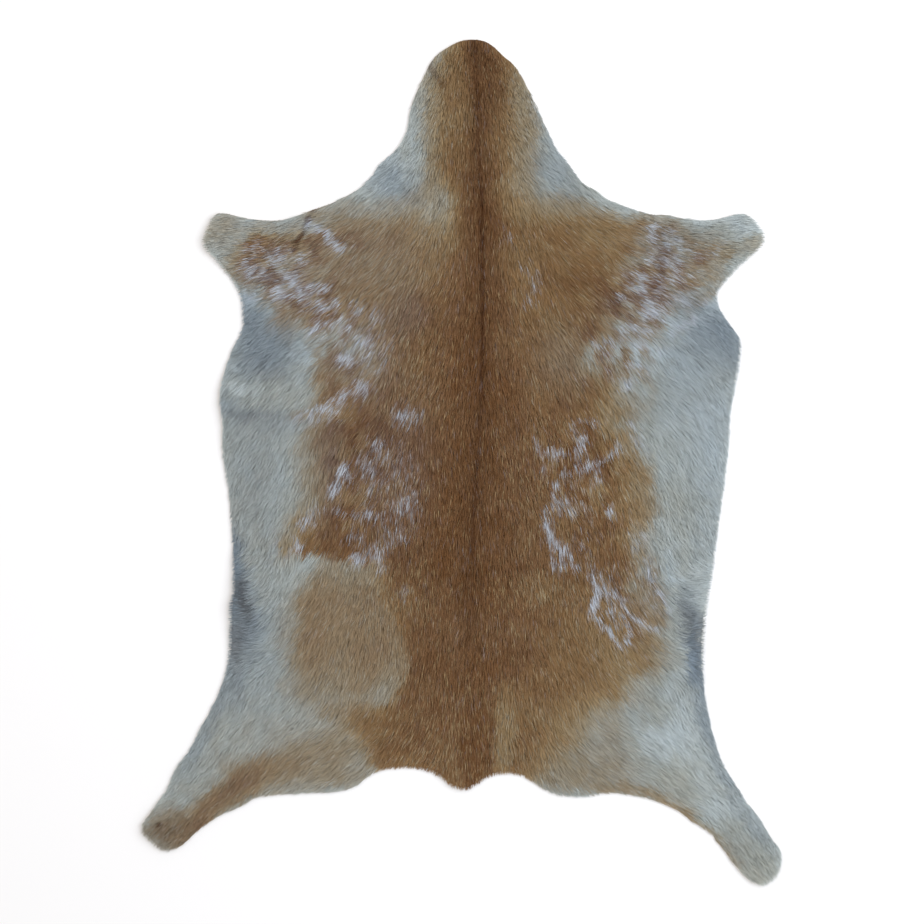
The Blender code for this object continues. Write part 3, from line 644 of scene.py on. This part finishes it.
def markings_and_shade(points, line_points):
    """Brown, slate and dark of the coat at each point, with painted shade and a painted highlight along some
    folds among them, and its shares of white tufts and of light hairs. The thin lines are looked up at
    line_points, which stray less."""
    wander = np.stack([layered_noise(points, WANDER_SIZE, seed) for seed in WANDER_SEEDS], axis=1)
    fine = np.stack([layered_noise(points, FINE_SIZE, seed) for seed in FINE_SEEDS], axis=1)
    moved = points + (wander + fine * FINE_IN_PATCHES) * RAGGED * MM
    saddle = saddle_share(moved)
    brown = CREAM_BROWN + (SADDLE_BROWN - CREAM_BROWN) * saddle
    brown = turn_towards(brown, moved, BROWN_PATCHES)
    clouds = CLOUDS * layered_noise(points, CLOUD_SIZE, CLOUD_SEED)
    brown += clouds + GRAIN * noise(points, GRAIN_SIZE, GRAIN_SEED)
    slate = turn_towards(FLANK_SLATE * (1.0 - saddle), moved, SLATE_PATCHES)
    # dark: the coat's dark spots and whorls, and painted shade in the creases of folds
    dark = largest_of(moved, DARK_PATCHES)
    along_dark = line_points + fine * DARK_LINE_WANDER * MM
    along_white = line_points + fine * WHITE_LINE_WANDER * MM
    for half_width, amount, *path in DARK_LINES:
        dark = np.maximum(dark, amount / 100 * line_share(along_dark, path, half_width))
    near = points + fine * FINE_IN_TUFTS * RAGGED * MM
    white = largest_of(near, WHITE_PATCHES, WHITE_SOFTNESS)
    for half_width, amount, *path in WHITE_LINES:
        share = line_share(along_white, path, half_width * WHITE_LINE_WIDENING)
        white = np.maximum(white, amount / 100 * share)
    white *= 1.0 + WHITE_NOISE * noise(points, WHITE_NOISE_SIZE, WHITE_NOISE_SEED)
    mottle = np.minimum(layered_noise(points, MOTTLE_SIZE, MOTTLE_SEED), MOTTLE_TOP)
    brown += largest_of(moved, MOTTLED_PATCHES) * mottle
    roan = turn_towards(np.zeros(len(points)), moved, ROAN_PATCHES)
    return brown, slate, dark, white, roan


def hair_pigments_and_shade(points, line_points, chance, light_chance):
    """What each hair holds of brown, white, slate and dark, painted shade and highlight along folds
    included. Low chances make it a white or a light one.
    """
    brown, slate, dark, white, roan = markings_and_shade(points, line_points)
    brown = np.where(light_chance < roan, brown * LIGHT_HAIR, brown)
    white = smooth_step(white - chance, *WHITE_FADE)
    return np.clip(np.stack([brown, white, slate, dark], axis=1), 0.0, 1.0)


# Shader helpers

def new_material(name):
    material = bpy.data.materials.new(name)
    material.use_nodes = True
    tree = material.node_tree
    return material, tree, tree.nodes["Principled BSDF"]


def set_inputs(node, values):
    """Each input gets its value, or a link where that is a socket."""
    for name, value in values.items():
        if isinstance(value, bpy.types.NodeSocket):
            node.id_data.links.new(value, node.inputs[name])
        else:
            node.inputs[name].default_value = value


def add_node(tree, kind, inputs, **settings):
    made = tree.nodes.new(kind)
    for name, value in settings.items():
        setattr(made, name, value)
    set_inputs(made, inputs)
    return made


def mix_colours(tree, share, first, second, blend="MIX"):
    """A Mix node for colours. Each of the three is a socket or a value."""
    inputs = {0: share, 6: first, 7: second}
    return add_node(tree, "ShaderNodeMix", inputs, data_type="RGBA", blend_type=blend).outputs[2]


def spread_value(tree, socket, low, high):
    """A socket's 0 to 1 as low to high."""
    return add_node(tree, "ShaderNodeMapRange", {"Value": socket, "To Min": low, "To Max": high}).outputs[0]


def ramp(tree, socket, stops):
    made = add_node(tree, "ShaderNodeValToRGB", {"Fac": socket})
    elements = made.color_ramp.elements
    while len(elements) < len(stops):
        elements.new(0.5)
    for element, (position, colour) in zip(elements, stops):
        element.position = position
        element.color = (*colour[:3], 1)
    return made.outputs["Color"]


def toned(tree, colour, socket, tones):
    """The colour times what a ramp of tones gives for the socket."""
    return mix_colours(tree, 1.0, colour, ramp(tree, socket, tones), "MULTIPLY")


def noise_value(tree, size, detail=2.0, stretch=(1, 1, 1)):
    """Noise with features of about this size in metres, from the object's own coordinates."""
    place = add_node(tree, "ShaderNodeTexCoord", {}).outputs["Object"]
    place = add_node(tree, "ShaderNodeMapping", {"Vector": place, "Scale": stretch}).outputs["Vector"]
    inputs = {"Vector": place, "Scale": 1.0 / size, "Detail": detail}
    return add_node(tree, "ShaderNodeTexNoise", inputs).outputs["Fac"]


def add_bump(tree, shader, height, strength, distance):
    inputs = {"Height": height, "Strength": strength, "Distance": distance}
    set_inputs(shader, {"Normal": add_node(tree, "ShaderNodeBump", inputs).outputs["Normal"]})


def held_values(tree, name):
    """The four values that the points hold under this name, as sockets."""
    held = add_node(tree, "ShaderNodeAttribute", {}, attribute_name=name).outputs
    return *add_node(tree, "ShaderNodeSeparateColor", {"Color": held["Color"]}).outputs, held["Alpha"]


# The colours of the coat, as they look on a screen
BROWN_STOPS = [
    (0.0, linear(200, 209, 211)), (0.20, linear(180, 183, 176)), (0.35, linear(173, 167, 152)),
    (0.50, linear(162, 146, 118)), (0.65, linear(155, 129, 92)), (0.80, linear(138, 106, 70)),
    (0.90, linear(124, 90, 59)), (1.0, linear(114, 77, 43)),
]
SLATE = linear(109, 126, 143)
# DARK_BROWN and DARK_SLATE are the coat's darkest: its dark spots and whorls, and the painted shade in the
# creases of folds
DARK_BROWN = linear(79, 46, 17)
DARK_SLATE = linear(72, 80, 84)
WHITE_HAIR = linear(190, 195, 204)


def coat_colour(tree):
    """The coat's colour from the pigments that its points hold, with the painted shade and highlight along
    folds.
    """
    brown, white, slate, dark = held_values(tree, "pigment_and_shade")
    colour = mix_colours(tree, slate, ramp(tree, brown, BROWN_STOPS), SLATE)
    darkest = mix_colours(tree, slate, DARK_BROWN, DARK_SLATE)
    return mix_colours(tree, white, mix_colours(tree, dark, colour, darkest), WHITE_HAIR)


# How much lighter or darker a hair, a lock and each part of a hair is than the coat's colour there
HAIR_TONES = [
    (0.0, (0.93, 0.93, 0.94)), (0.25, (0.98, 0.98, 0.98)),
    (0.75, (1.01, 1.01, 1.01)), (1.0, (1.05, 1.05, 1.04)),
]
LOCK_TONES = [(0.0, (0.94, 0.94, 0.95)), (1.0, (1.07, 1.06, 1.06))]
ROOT_TO_TIP_TONES = [
    (0.0, (0.91, 0.90, 0.89)), (0.5, (0.98, 0.98, 0.98)), (1.0, (1.05, 1.05, 1.05)),
]
UNDERCOAT_TONES = [(0.3, (0.66, 0.65, 0.64)), (0.7, (0.90, 0.89, 0.88))]


def hair_material():
    """Hair in the coat's colours, each one a little different."""
    material, tree, shader = new_material("goat_hair")
    own, along, clump, _ = held_values(tree, "strand")
    colour = coat_colour(tree)
    for socket, tones in ((own, HAIR_TONES), (clump, LOCK_TONES), (along, ROOT_TO_TIP_TONES)):
        colour = toned(tree, colour, socket, tones)
    roughness = spread_value(tree, own, 0.56, 0.76)
    set_inputs(shader, {"Base Color": colour, "Roughness": roughness, "Specular IOR Level": 0.20})
    add_bump(tree, shader, noise_value(tree, 0.5 * MM, 1.0, (1.0, 0.2, 1.0)), 0.15, 0.1 * MM)
    return material


def undercoat_material():
    """The skin's upper side, where the roots of the hairs crowd together."""
    material, tree, shader = new_material("undercoat")
    grain = noise_value(tree, 1.2 * MM, 3.0, (1.0, 0.25, 1.0))
    colour = toned(tree, coat_colour(tree), grain, UNDERCOAT_TONES)
    set_inputs(shader, {"Base Color": colour, "Roughness": spread_value(tree, grain, 0.75, 0.95)})
    add_bump(tree, shader, grain, 0.8, 0.8 * MM)
    return material


def suede_material():
    """The flesh side: pale tanned skin with a soft nap, pores and blotches."""
    material, tree, shader = new_material("suede")
    blotch = noise_value(tree, 90 * MM, 4.0)
    nap = noise_value(tree, 1.6 * MM, 5.0)
    pores = noise_value(tree, 6 * MM, 3.0)
    colour = ramp(tree, blotch, [
        (0.32, linear(186, 168, 142)), (0.5, linear(208, 194, 170)), (0.68, linear(222, 212, 194)),
    ])
    colour = toned(tree, colour, pores, [(0.35, (0.86, 0.85, 0.84)), (0.6, (1.0, 1.0, 1.0))])
    colour = toned(tree, colour, nap, [(0.3, (0.9, 0.9, 0.9)), (0.7, (1.06, 1.06, 1.06))])
    set_inputs(shader, {"Base Color": colour, "Roughness": spread_value(tree, nap, 0.8, 0.97),
                        "Sheen Weight": 0.25, "Sheen Roughness": 0.6})
    add_bump(tree, shader, nap, 0.6, 0.5 * MM)
    return material


# The skin

def moved_inward(loop, inset):
    """The loop a little inside itself, without points that a tight turn brings too near to it."""
    run = np.roll(loop, -1, axis=0) - np.roll(loop, 1, axis=0)
    run /= np.linalg.norm(run, axis=1)[:, None]
    moved = loop + inset * np.stack([-run[:, 1], run[:, 0]], axis=1)
    return moved[signed_distance(moved, loop) > 0.7 * inset]


def fine_loop(loop, spacing):
    closed = np.vstack([loop, loop[:1]])
    along = np.concatenate([[0.0], np.cumsum(np.linalg.norm(np.diff(closed, axis=0), axis=1))])
    at = np.linspace(0.0, along[-1], round(along[-1] / spacing), endpoint=False)
    return np.stack([np.interp(at, along, closed[:, axis]) for axis in (0, 1)], axis=1)


def grid_points(pitch, clearance, jitter=0.0):
    """Points of an even triangular grid over the hide, at least this far inside its edge."""
    rows = []
    for index, y in enumerate(np.arange(map_y[0], map_y[-1], pitch * math.sqrt(3) / 2)):
        x = np.arange(map_x[0] + (index % 2) * pitch / 2, map_x[-1], pitch)
        rows.append(np.stack([x, np.full(len(x), y)], axis=1))
    grid = np.vstack(rows)
    if jitter:
        grid += rng.uniform(-jitter, jitter, grid.shape) * pitch
    return grid[read_map(EDGE_MAP, grid) > clearance]


def build_skin(undercoat, suede):
    """A closed sheet: its top carries the hair's roots, its underside is the CAD solid's own."""
    edge = fine_loop(moved_inward(outline, SKIN_INSET), SKIN_EDGE_STEP)
    inner = grid_points(SKIN_PITCH, SKIN_INSET + ROW_CLEARANCE * SKIN_PITCH)
    plan = np.vstack([edge, inner])
    border = [(i, (i + 1) % len(edge)) for i in range(len(edge))]
    cut = delaunay_2d_cdt([Vector(p) for p in plan], border, [], INSIDE_ONLY, SAME_POINT)
    faces = [[cut[3][corner][0] for corner in face] for face in cut[2]]
    faces = np.array([f if turns_left(plan, f) else f[::-1] for f in faces])
    low = read_map(UNDER_MAP, plan)
    count = len(plan)
    places = np.vstack([np.column_stack([plan, low + SKIN_THICKNESS]), np.column_stack([plan, low])])
    wall = [(i, i + count, j + count, j) for i, j in border]
    mesh = bpy.data.meshes.new("skin")
    mesh.from_pydata(places.tolist(), [], faces.tolist() + (faces[:, ::-1] + count).tolist() + wall)
    mesh.materials.append(undercoat)
    mesh.materials.append(suede)
    slots = np.ones(len(mesh.polygons), np.int32)
    slots[:len(faces)] = 0
    mesh.polygons.foreach_set("material_index", slots)
    mesh.shade_smooth()
    even_chance = np.full(len(places), 0.5)
    give_colours(mesh, "pigment_and_shade", hair_pigments_and_shade(places[:, :2], places[:, :2], even_chance, even_chance))
    mesh.update()
    return placed("skin", mesh)


def turns_left(plan, face):
    (ax, ay), (bx, by), (cx, cy) = plan[face]
    return (bx - ax) * (cy - ay) > (by - ay) * (cx - ax)


def give_colours(mesh, name, values):
    attribute = mesh.attributes.new(name, "FLOAT_COLOR", "POINT")
    attribute.data.foreach_set("color", np.ascontiguousarray(values, np.float32).ravel())


# The hairs

def locks_of(roots, pitch, seed):
    """The lock that each hair belongs to: its middle, and three random numbers that the lock shares."""
    cell = np.floor(roots / pitch).astype(int)
    best = np.full(len(roots), np.inf)
    middle = np.zeros_like(roots)
    shared = np.zeros((len(roots), 3))
    for i in (-1, 0, 1):
        for j in (-1, 0, 1):
            column, row = cell[:, 0] + i, cell[:, 1] + j
            part_x, part_y = cell_random(column, row, seed), cell_random(column, row, seed + 1)
            spot = np.stack([column + part_x, row + part_y], axis=1) * pitch
            away = ((roots - spot) ** 2).sum(axis=1)
            nearer = away < best
            best = np.where(nearer, away, best)
            middle[nearer] = spot[nearer]
            for k in range(3):
                shared[nearer, k] = cell_random(column, row, seed + 2 + k)[nearer]
    return middle, shared


def turned(directions, angles):
    cos, sin = np.cos(angles), np.sin(angles)
    x, y = directions.T
    return np.stack([x * cos - y * sin, x * sin + y * cos], axis=1)


def hair_lengths(roots, directions, shared):
    """Shorter on the neck and the legs, a little uneven, and cut back where a hair would leave the edge."""
    inside = read_map(EDGE_MAP, roots)
    x, y = roots.T
    length = HAIR_LENGTH * (LOCK_LENGTH + LOCK_LENGTH_SPREAD * shared[:, 1])
    length *= rng.uniform(*HAIR_LENGTHS, len(roots))
    length *= 1.0 - SHORTER_ON_LIMBS * smooth_step(y, *NECK_FROM)
    length *= 1.0 - SHORTER_ON_LIMBS * smooth_step(np.abs(x), *LEGS_FROM)
    length *= 1.0 - SHORTER_AT_RIM * (1.0 - smooth_step(inside, *RIM_TO))
    reach = OVERHANG * rng.uniform(*OVERHANG_SPREAD, len(roots))
    for _ in range(TRIM_ROUNDS):
        past = -read_map(EDGE_MAP, roots + directions * length[:, None]) - reach
        length -= np.maximum(past, 0.0) * TRIM_SHARE
    return np.maximum(length, SHORTEST_HAIR)


def hair_ribbons(roots):
    """Every hair as a tapered ribbon of five points, with what its material reads."""
    count = len(roots)
    middle, shared = locks_of(roots, LOCK_PITCH, LOCK_SEED)
    tuft = locks_of(roots, TUFT_PITCH, TUFT_SEED)[1]
    turn = (shared[:, 0] - 0.5) * LOCK_TURN + rng.normal(0.0, HAIR_TURN, count)
    direction = turned(hair_direction(roots), turn)
    length = hair_lengths(roots, direction, shared)
    across = np.stack([-direction[:, 1], direction[:, 0]], axis=1)
    to_lock = ((middle - roots) * across).sum(axis=1) * rng.uniform(*GATHERING, count)
    bend = rng.normal(0.0, HAIR_BEND, count) * length
    layer = rng.uniform(*LAYERS, count)
    roll = rng.normal(0.0, HAIR_ROLL, count)
    width = HAIR_WIDTH * rng.uniform(*HAIR_WIDTHS, count)
    places = np.zeros((count, len(RIBBON_U), 3))
    for index, (share, rise) in enumerate(zip(HAIR_STATIONS, HAIR_RISE)):
        plan = roots + direction * (length * share)[:, None]
        plan = plan + across * (to_lock * share + bend * share**2)[:, None]
        low = read_map(UNDER_MAP, plan) + SKIN_THICKNESS
        high = np.maximum(read_map(TOP_MAP, plan), low + THINNEST_COAT)
        z = low + (high - low) * rise * layer
        centre = np.column_stack([plan, z])
        if index == len(HAIR_STATIONS) - 1:
            places[:, -1] = centre
            continue
        half = width * HAIR_TAPER[index] / 2
        side = np.column_stack([across * (half * np.cos(roll))[:, None], half * np.sin(roll)])
        places[:, 2 * index] = centre - side
        places[:, 2 * index + 1] = centre + side
    places[:, :, 2] = np.maximum(places[:, :, 2], LOWEST_POINT)
    own = rng.uniform(0.0, 1.0, count)
    seen = roots + direction * (length * SEEN_PART)[:, None]
    strayed = seen + rng.normal(0.0, SCATTER, seen.shape) + (tuft[:, :2] - 0.5) * 2 * TUFT_SCATTER
    chance = TUFT_CHANCE * tuft[:, 2] + HAIR_CHANCE * rng.uniform(0.0, 1.0, count)
    pigment_and_shade = hair_pigments_and_shade(strayed, (seen + strayed) / 2, chance, rng.uniform(0.0, 1.0, count))
    return places, pigment_and_shade, own, shared[:, 2]


def atlas_cells(plan):
    """A place for each hair in a square atlas: rows by y, then columns by x."""
    side = math.ceil(math.sqrt(len(plan)))
    by_row = np.argsort(plan[:, 1], kind="stable")
    row = np.empty(len(plan), int)
    row[by_row] = np.arange(len(plan)) // side
    order = np.lexsort((plan[:, 0], row))
    column = np.empty(len(plan), int)
    column[order] = np.arange(len(plan)) % side
    return column, row, side


def ribbon_mesh(name, places, pigment_and_shade, own, shared):
    """The ribbons as one mesh: a quad and a triangle each, with their colours and a place in the atlas."""
    count, each = len(places), len(RIBBON_U)
    mesh = bpy.data.meshes.new(name)
    mesh.vertices.add(count * each)
    mesh.vertices.foreach_set("co", places.astype(np.float32).ravel())
    corners = (np.arange(count)[:, None] * each + RIBBON_CORNERS).ravel()
    mesh.loops.add(len(corners))
    mesh.loops.foreach_set("vertex_index", corners.astype(np.int32))
    sizes = np.tile(RIBBON_FACES, count)
    starts = np.concatenate([[0], np.cumsum(sizes)[:-1]])
    mesh.polygons.add(len(sizes))
    mesh.polygons.foreach_set("loop_start", starts.astype(np.int32))
    mesh.update(calc_edges=True)
    mesh.shade_smooth()
    give_colours(mesh, "pigment_and_shade", np.repeat(pigment_and_shade, each, axis=0))
    along = np.tile(RIBBON_ALONG, count)
    strand = np.column_stack([np.repeat(own, each), along, np.repeat(shared, each), np.ones(len(along))])
    give_colours(mesh, "strand", strand)
    column, row, side = atlas_cells(places[:, 2, :2])
    u = (column[:, None] + RIBBON_U[RIBBON_CORNERS]) / side
    v = (row[:, None] + ATLAS_BORDER + (1 - 2 * ATLAS_BORDER) * RIBBON_ALONG[RIBBON_CORNERS]) / side
    atlas = mesh.uv_layers.new(name="OFBake")
    atlas.uv.foreach_set("vector", np.stack([u.ravel(), v.ravel()], axis=1).astype(np.float32).ravel())
    return mesh


def build_coat(material):
    """The hairs in five strips of the hide, side by side, with the same number in each."""
    roots = grid_points(HAIR_PITCH, ROOT_INSET, HAIR_JITTER)
    places, pigment_and_shade, own, shared = hair_ribbons(roots)
    order = np.argsort(roots[:, 0], kind="stable")
    coat = []
    for name, chosen in zip(STRIPS, np.array_split(order, len(STRIPS))):
        mesh = ribbon_mesh("coat_" + name, places[chosen], pigment_and_shade[chosen], own[chosen], shared[chosen])
        mesh.materials.append(material)
        coat.append(placed("coat_" + name, mesh))
    return coat


# The studio

def build_floor():
    """A plain pale floor, well past the view."""
    material, _, shader = new_material("floor")
    set_inputs(shader, {"Base Color": FLOOR_COLOUR, "Roughness": FLOOR_ROUGHNESS,
                        "Specular IOR Level": FLOOR_GLOSS})
    corners = [(x * FLOOR_HALF, y * FLOOR_HALF, 0) for x, y in ((-1, -1), (1, -1), (1, 1), (-1, 1))]
    mesh = bpy.data.meshes.new("floor")
    mesh.from_pydata(corners, [], [(0, 1, 2, 3)])
    mesh.materials.append(material)
    floor = placed("floor", mesh)
    floor.location.z = FLOOR_Z


def build_camera():
    """Straight above the middle of the hide, so far up that the view is as wide as the photo's."""
    camera = bpy.data.cameras.new("camera")
    camera.lens = LENS
    camera.sensor_width = SENSOR
    width = PHOTO_SIDE * PHOTO_MM_PER_PIXEL * MM
    rig = placed("camera", camera)
    rig.location = (*VIEW_CENTRE, width * LENS / SENSOR)
    bpy.context.scene.camera = rig


def add_area_light(name, place, size, power, colour):
    """A square lamp that shines at the middle of the rug."""
    lamp = bpy.data.lights.new(name, "AREA")
    lamp.size = size
    lamp.energy = power
    lamp.color = colour
    rig = placed(name, lamp)
    rig.location = place
    rig.rotation_euler = (-Vector(place)).to_track_quat("-Z", "Y").to_euler()


def build_light():
    """Soft, even and a little cool, stronger from the right."""
    world = bpy.data.worlds.new("studio")
    world.use_nodes = True
    set_inputs(world.node_tree.nodes["Background"], {"Color": SKY_COLOUR, "Strength": SKY_STRENGTH})
    bpy.context.scene.world = world
    for lamp in LAMPS:
        add_area_light(*lamp)
    bpy.context.scene.view_settings.view_transform = "Standard"


build_floor()
build_camera()
build_light()
skin = build_skin(undercoat_material(), suede_material())
coat = build_coat(hair_material())
for piece in [skin, *coat]:
    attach(piece, "root")
    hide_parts("hide")
